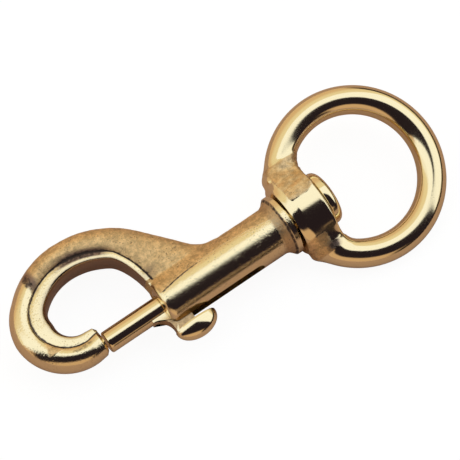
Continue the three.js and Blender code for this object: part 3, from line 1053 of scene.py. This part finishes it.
# The dark colour this group lays is partly dirt and partly painted shade.
def build_dirt_and_shade(specks_per_metre=1400, raggedness=1.2):
    group, start, end = new_group(
        "Corner dirt",
        [("Place", "NodeSocketVector", None), ("Amount", "NodeSocketFloat", 0.0),
         ("Metal", "NodeSocketColor", (0.8, 0.6, 0.3, 1)),
         ("Dirt and shade", "NodeSocketColor", (0.1, 0.075, 0.065, 1))],
        [("Colour", "NodeSocketColor"), ("Mask", "NodeSocketFloat")],
    )
    amount = start.outputs["Amount"]
    scaled = scaled_place(group, start.outputs["Place"], specks_per_metre, (-700, 0))
    broken = maths(group, "SUBTRACT", noise_socket(group, 1.0, 4.0, 0.7, (-500, 0), scaled), 0.5, (-350, 0))
    shifted = maths(group, "ADD", amount, maths(group, "MULTIPLY", broken, raggedness, (-200, 0)), (-50, 0))
    mask = ramped(group, shifted, 0.3, 0.75, (100, 0))
    gated = maths(group, "MULTIPLY", mask, ramped(group, amount, 0.0, 0.2, (100, -250)), (250, -50))
    colour = mixed(group, gated, start.outputs["Metal"], start.outputs["Dirt and shade"], (450, 100))
    group.links.new(colour, end.inputs["Colour"])
    group.links.new(gated, end.inputs["Mask"])
    return group


sand_skin, buffing, corner_dirt_and_shade = build_sand_skin(), build_buffing(), build_dirt_and_shade()
print("groups:", [g.name for g in (sand_skin, buffing, corner_dirt_and_shade)])

# %% [markdown]
# ## Brass
# Polished brass is a clear mirror with a warm tint. As it comes from the sand it is browner, satin and
# pitted. The two are the same metal, so one material mixes them by the "cast" value painted on each
# point, lays over both a brown that is partly tarnish and partly painted shade, and last a dark brown
# that is partly dirt and partly painted shade.

# %% A bare metal and what was painted on the points
def new_metal(name):
    """A metal material with a shader, an output and the piece's own coordinates."""
    material = bpy.data.materials.new(name)
    material.use_nodes = True
    tree = material.node_tree
    tree.nodes.clear()
    shader = add_node(tree, "ShaderNodeBsdfPrincipled", (600, 0))
    shader.inputs["Metallic"].default_value = 1.0
    out = add_node(tree, "ShaderNodeOutputMaterial", (900, 0))
    tree.links.new(shader.outputs[0], out.inputs[0])
    place = add_node(tree, "ShaderNodeTexCoord", (-1200, 0)).outputs["Object"]
    return material, tree, shader, place


def use_group(tree, group, vector, place):
    made = add_node(tree, "ShaderNodeGroup", place, node_tree=group)
    tree.links.new(vector, made.inputs["Place"])
    return made


def painted(tree, name, place):
    return add_node(tree, "ShaderNodeAttribute", place, attribute_name=name).outputs["Fac"]


print("metal helpers ready")

# %% The brass material
polished_colour = (0.9, 0.755, 0.465)
raw_colour = (0.78, 0.56, 0.29)
dark_grain, light_grain = 0.66, 1.3
pit_colour = (0.26, 0.16, 0.09)
# The tarnish brown is also the colour of painted shade where it is laid on shaded places.
tarnish_and_shade_colour = (0.3, 0.2, 0.15)
edge_raggedness = 0.5
raw_pits = 0.45
haze_middle, haze_roughness = 0.05, 0.12
dirt_and_shade_roughness = 0.25
buffing_share = 0.04
grain_depth = 0.00006


def brass(name, gloss, satin, speckle):
    """Polished brass of one gloss that turns into satin, pitted raw brass where "cast" is painted."""
    material, tree, shader, place = new_metal(name)
    cast = painted(tree, "cast", (-1200, -300))
    dirt_and_shade = painted(tree, "dirt_and_shade", (-1200, -500))
    film_and_shade = painted(tree, "tarnish_and_shade", (-1200, -700))
    skin = use_group(tree, sand_skin, place, (-900, 200))
    buff = use_group(tree, buffing, place, (-900, -100))
    # Where the brass is raw, with an edge that the grain makes ragged.
    shift = maths(tree, "SUBTRACT", skin.outputs["Tone"], 0.5, (-700, -350))
    shift = maths(tree, "MULTIPLY", shift, edge_raggedness, (-600, -350))
    raw = ramped(tree, maths(tree, "ADD", cast, shift, (-500, -350)), 0.3, 0.7, (-350, -350))
    # Colour: raw or polished metal, then pits, then tarnish with painted shade, then dirt with painted shade.
    tone = ramped(tree, skin.outputs["Tone"], 0.3, 0.7, (-700, 400))
    shades = [tuple(c * share for c in raw_colour) for share in (dark_grain, light_grain)]
    metal = mixed(tree, raw, polished_colour, mixed(tree, tone, *shades, (-500, 400)), (-200, 300))
    pit_share = maths(tree, "ADD", speckle, maths(tree, "MULTIPLY", raw, raw_pits, (-200, 0)), (-50, 0))
    pit_share = maths(tree, "MULTIPLY", skin.outputs["Pits"], pit_share, (100, 50))
    pitted = mixed(tree, pit_share, metal, pit_colour, (0, 300))
    stained_and_shaded = mixed(tree, film_and_shade, pitted, tarnish_and_shade_colour, (100, 500))
    grime_and_shade = use_group(tree, corner_dirt_and_shade, place, (200, 300))
    tree.links.new(dirt_and_shade, grime_and_shade.inputs["Amount"])
    tree.links.new(stained_and_shaded, grime_and_shade.inputs["Metal"])
    tree.links.new(grime_and_shade.outputs["Colour"], shader.inputs["Base Color"])
    # Roughness: the haze of the wheel, then the satin of the raw skin, then dirt and painted shade.
    haze = maths(tree, "MULTIPLY", buff.outputs["Haze"], haze_roughness, (-600, -100))
    rough = maths(tree, "ADD", haze, gloss - haze_middle, (-450, -100))
    rough = maths(tree, "ADD", rough, maths(tree, "MULTIPLY", raw, satin - gloss, (-200, -200)), (-50, -200))
    dull = maths(tree, "MULTIPLY", grime_and_shade.outputs["Mask"], dirt_and_shade_roughness, (300, -100))
    rough = maths(tree, "ADD", rough, dull, (450, -200), clamp=True)
    tree.links.new(rough, shader.inputs["Roughness"])
    # Height: grains and pits, most of them where the brass is raw, and faint buffing lines.
    depth = maths(tree, "ADD", speckle, raw, (-50, -450))
    depth = maths(tree, "MULTIPLY", skin.outputs["Height"], depth, (100, -450))
    lines = maths(tree, "MULTIPLY", buff.outputs["Height"], buffing_share, (100, -600))
    depth = maths(tree, "ADD", depth, lines, (250, -450))
    bumped = add_node(tree, "ShaderNodeBump", (400, -450))
    bumped.inputs["Strength"].default_value = 1.0
    bumped.inputs["Distance"].default_value = grain_depth
    tree.links.new(depth, bumped.inputs["Height"])
    tree.links.new(bumped.outputs[0], shader.inputs["Normal"])
    return material


cast_brass = brass("cast brass", gloss=0.13, satin=0.54, speckle=0.42)
polished_brass = brass("polished brass", gloss=0.1, satin=0.42, speckle=0.04)
print("materials:", cast_brass.name, "and", polished_brass.name)

# %% [markdown]
# ## Spring wire
# Spring wire is drawn through a die, so it is bright grey steel with a light haze. It shares the
# buffing group and needs nothing else.

# %% The spring wire material
dark_steel = (0.42, 0.41, 0.39)
bright_steel = (0.62, 0.6, 0.57)
wire_gloss = 0.15
wire_haze = 0.2


def spring_steel():
    material, tree, shader, place = new_metal("spring wire")
    haze = use_group(tree, buffing, place, (-700, 0)).outputs["Haze"]
    tree.links.new(mixed(tree, haze, dark_steel, bright_steel, (-400, 100)), shader.inputs["Base Color"])
    rough = maths(tree, "MULTIPLY", haze, wire_haze, (-500, -150))
    tree.links.new(maths(tree, "ADD", rough, wire_gloss, (-350, -150)), shader.inputs["Roughness"])
    return material


wire_steel = spring_steel()
print("material:", wire_steel.name)

# %% [markdown]
# ## Put each piece on its body
# The meshes are in millimetres from the mouth, so they are scaled to metres and moved to the mouth's
# place in the frame. Smooth shading with hard edges only where the metal has them keeps the reflections
# clean. Each piece then rides on the CAD body that carries it.

# %% Place, shade and ride
def finish_piece(piece, material, sharp_angle=32):
    piece.data.transform(Matrix.Scale(MM, 4) @ Matrix.Translation((mouth_x, 0, 0)))
    piece.data.polygons.foreach_set("use_smooth", [True] * len(piece.data.polygons))
    piece.data.set_sharp_from_angle(angle=math.radians(sharp_angle))
    piece.data.materials.clear()
    piece.data.materials.append(material)
    piece.data.update()


for piece, material in ((hook, cast_brass), (bolt, polished_brass), (spring, wire_steel),
                        (eye, polished_brass), (pin, polished_brass)):
    finish_piece(piece, material)

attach(hook, "hook")
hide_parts("hook_body")
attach(bolt, "gate")
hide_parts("bolt")
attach(eye, "eye")
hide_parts("swivel_eye")
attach(pin, "hook")
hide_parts("swivel_pin")
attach(spring, "hook")
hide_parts("bolt_spring")
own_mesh(spring)

# %% [markdown]
# ## The table
# The snap lies on plain white paper. The camera sees the paper pale, with a faint shadow. Metal would
# mirror so much white that its underside looked like milk, so for mirrored rays the same paper is a
# warm tan, as a table in the shade is. A light path node tells the two apart.

# %% The table
table_size = 0.6
table_gap = 0.00002
paper_glow = 0.93
paper_grey = 0.14
shaded_paper = (0.66, 0.46, 0.37)
table_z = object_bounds()[0].z - table_gap
corners = [(x * table_size, y * table_size, table_z) for x, y in ((-1, -1), (1, -1), (1, 1), (-1, 1))]
table = new_object("table", corners, [(0, 1, 2, 3)])
paper = bpy.data.materials.new("paper")
paper.use_nodes = True
tree = paper.node_tree
tree.nodes.clear()
out = add_node(tree, "ShaderNodeOutputMaterial", (600, 0))
seen = add_node(tree, "ShaderNodeEmission", (0, 100))
seen.inputs["Color"].default_value = (1.0, 1.0, 1.0, 1)
seen.inputs["Strength"].default_value = paper_glow
lit = add_node(tree, "ShaderNodeBsdfDiffuse", (0, -50))
lit.inputs["Color"].default_value = (paper_grey, paper_grey, paper_grey, 1)
shown = add_node(tree, "ShaderNodeAddShader", (200, 50))
mirrored = add_node(tree, "ShaderNodeBsdfDiffuse", (0, -250))
mirrored.inputs["Color"].default_value = (*shaded_paper, 1)
choose = add_node(tree, "ShaderNodeMixShader", (400, 0))
path = add_node(tree, "ShaderNodeLightPath", (200, 300))
tree.links.new(seen.outputs[0], shown.inputs[0])
tree.links.new(lit.outputs[0], shown.inputs[1])
tree.links.new(path.outputs["Is Camera Ray"], choose.inputs[0])
tree.links.new(mirrored.outputs[0], choose.inputs[1])
tree.links.new(shown.outputs[0], choose.inputs[2])
tree.links.new(choose.outputs[0], out.inputs[0])
table.data.materials.append(paper)
print("table at z =", round(table_z / MM, 2), "mm")

# %% [markdown]
# ## The camera
# The snap is seen from above, a little from the hook's end and a little from the knob's side, and lies
# slanted across the frame. Three turns say how it is held; a long lens keeps the two ends in scale.

# %% The camera
look_at = Vector((mouth_x + 18, 2, 0)) * MM
camera_distance = 0.45
frame_right, frame_up = 0.000195, 0.008295
turn_about_y, tip_forward, roll = (math.radians(a) for a in (11.864, 16.95, 33.815))
back = Vector((-math.sin(turn_about_y), -math.cos(turn_about_y) * math.sin(tip_forward),
               math.cos(turn_about_y) * math.cos(tip_forward)))
level = (Vector((1, 0, 0)) - back * back.x).normalized()
upright = back.cross(level)
right = math.cos(roll) * level - math.sin(roll) * upright
up = math.sin(roll) * level + math.cos(roll) * upright
eye_point = look_at + back * camera_distance
aim = (back - frame_right * right - frame_up * up).normalized()
right = (right - aim * right.dot(aim)).normalized()
up = aim.cross(right)
camera_data = bpy.data.cameras.new("camera")
camera_data.sensor_width = 36
camera_data.lens = 178.55
camera_data.clip_start, camera_data.clip_end = 0.01, 10
camera = bpy.data.objects.new("camera", camera_data)
bpy.context.scene.collection.objects.link(camera)
camera.matrix_world = Matrix((
    (right.x, up.x, aim.x, eye_point.x), (right.y, up.y, aim.y, eye_point.y),
    (right.z, up.z, aim.z, eye_point.z), (0, 0, 0, 1),
))
bpy.context.scene.camera = camera
print("camera looks down at", round(math.degrees(math.asin(aim.z)), 1), "degrees")

# %% [markdown]
# ## The sky of soft light
# Polished metal shows whatever surrounds it, so the surroundings are the light: a warm wall all round, a
# big soft light overhead with a cream rim, a white card at the left, and two dark places, the room on
# the near side and a gap low on the right. Each is a zone of the sky, with straight soft edges measured
# in degrees from straight up. Lamps would light the brass too, but leave nothing for it to mirror.

# %% Measure the sky in degrees
away = Vector((up.x, up.y, 0)).normalized()
aside = Vector((right.x, right.y, 0)).normalized()
just_over_one = 1.0001
world = bpy.data.worlds.new("studio")
bpy.context.scene.world = world
world.use_nodes = True
tree = world.node_tree
tree.nodes.clear()
direction = add_node(tree, "ShaderNodeTexCoord", (-1800, 0)).outputs["Generated"]


def facing(vector, place):
    """How much a direction of the sky points along a vector, from -1 to 1."""
    made = add_node(tree, "ShaderNodeVectorMath", place, operation="DOT_PRODUCT")
    tree.links.new(direction, made.inputs[0])
    made.inputs[1].default_value = tuple(vector)
    return made.outputs["Value"]


height = facing((0, 0, 1), (-1600, 200))
from_top = maths(tree, "ARCCOSINE", height, None, (-1400, 300))
from_top = maths(tree, "MULTIPLY", from_top, 180 / math.pi, (-1250, 300))
level_part = maths(tree, "MULTIPLY", height, height, (-1400, 100))
level_part = maths(tree, "SUBTRACT", just_over_one, level_part, (-1250, 100))
level_part = maths(tree, "SQRT", level_part, None, (-1100, 100))
stretch = maths(tree, "DIVIDE", from_top, level_part, (-950, 200))
sideways = maths(tree, "MULTIPLY", facing(aside, (-1600, -100)), stretch, (-800, 0))
far = maths(tree, "MULTIPLY", facing(away, (-1600, -300)), stretch, (-800, -200))
print("away is", [round(v, 2) for v in away], "and aside is", [round(v, 2) for v in aside])

# %% The zones and their edges
near_wall, far_wall = (0.63, 0.435, 0.28), (0.73, 0.535, 0.335)
wall_change = (-40, 20)
# An edge is (share of sideways, share of far, limit, softness): the zone lies where the sum of the two
# shares is under the limit. A drop is the angle from straight up where a zone starts.
zones = {
    "halo": {"colour": (0.86, 0.78, 0.56), "edges": [(-0.6, 1, 58, 16), (0.75, 1, 95, 8), (0, -1, 34, 4)]},
    "right gap": {"colour": (0.04, 0.03, 0.025), "edges": [(-1, -0.3, -35, 8)], "drop": (73, 78)},
    "left card": {"colour": (1.02, 1.05, 1.05),
                  "edges": [(-0.25, 1, 15, 4), (-1, 0, 72, 3), (1, 0, 5, 3), (0, -1, 38, 5)]},
    "overhead": {"colour": (1.08, 1.15, 1.22),
                 "edges": [(-0.75, 1, 27, 1.5), (0.75, 1, 76, 3), (1, 0, 72, 2), (0, -1, 34, 4)]},
    "dark room": {"colour": (0.018, 0.013, 0.02),
                  "edges": [(-0.8, 1, -4, 2), (0.25, 1, 3, 2), (0.25, -1, 63, 5), (-1, 0, 60, 6)]},
}


def edge(side_share, far_share, limit, soft, level):
    """1 where side_share * sideways + far_share * far is under the limit, with a soft edge."""
    side = maths(tree, "MULTIPLY", sideways, side_share, (-600, level))
    depth = maths(tree, "MULTIPLY", far, far_share, (-600, level - 100))
    total = maths(tree, "ADD", side, depth, (-450, level))
    return ramped(tree, total, limit + soft, limit - soft, (-300, level))


print("zones of the sky:", ", ".join(zones))

# %% Build the sky
level = 1500
sky = mixed(tree, ramped(tree, far, *wall_change, (0, level)), near_wall, far_wall, (150, level))
for i, zone in enumerate(zones.values()):
    masks = []
    for line in zone["edges"]:
        level -= 200
        masks.append(edge(*line, level))
    if "drop" in zone:
        masks.append(ramped(tree, from_top, *zone["drop"], (-300, level - 100)))
    mask = masks[0]
    for k, other in enumerate(masks[1:]):
        mask = maths(tree, "MULTIPLY", mask, other, (k * 130, level))
    sky = mixed(tree, mask, sky, zone["colour"], (450 + i * 150, level))
background = add_node(tree, "ShaderNodeBackground", (1300, 0))
plain = add_node(tree, "ShaderNodeBackground", (1300, -200))
plain.inputs["Color"].default_value = (1.0, 1.0, 1.0, 1)
path = add_node(tree, "ShaderNodeLightPath", (1300, 300))
choose = add_node(tree, "ShaderNodeMixShader", (1500, 0))
out = add_node(tree, "ShaderNodeOutputWorld", (1700, 0))
tree.links.new(sky, background.inputs["Color"])
tree.links.new(path.outputs["Is Camera Ray"], choose.inputs[0])
tree.links.new(background.outputs[0], choose.inputs[1])
tree.links.new(plain.outputs[0], choose.inputs[2])
tree.links.new(choose.outputs[0], out.inputs["Surface"])
bpy.context.scene.view_settings.view_transform = "Standard"
print("sky built with", len(tree.nodes), "nodes")
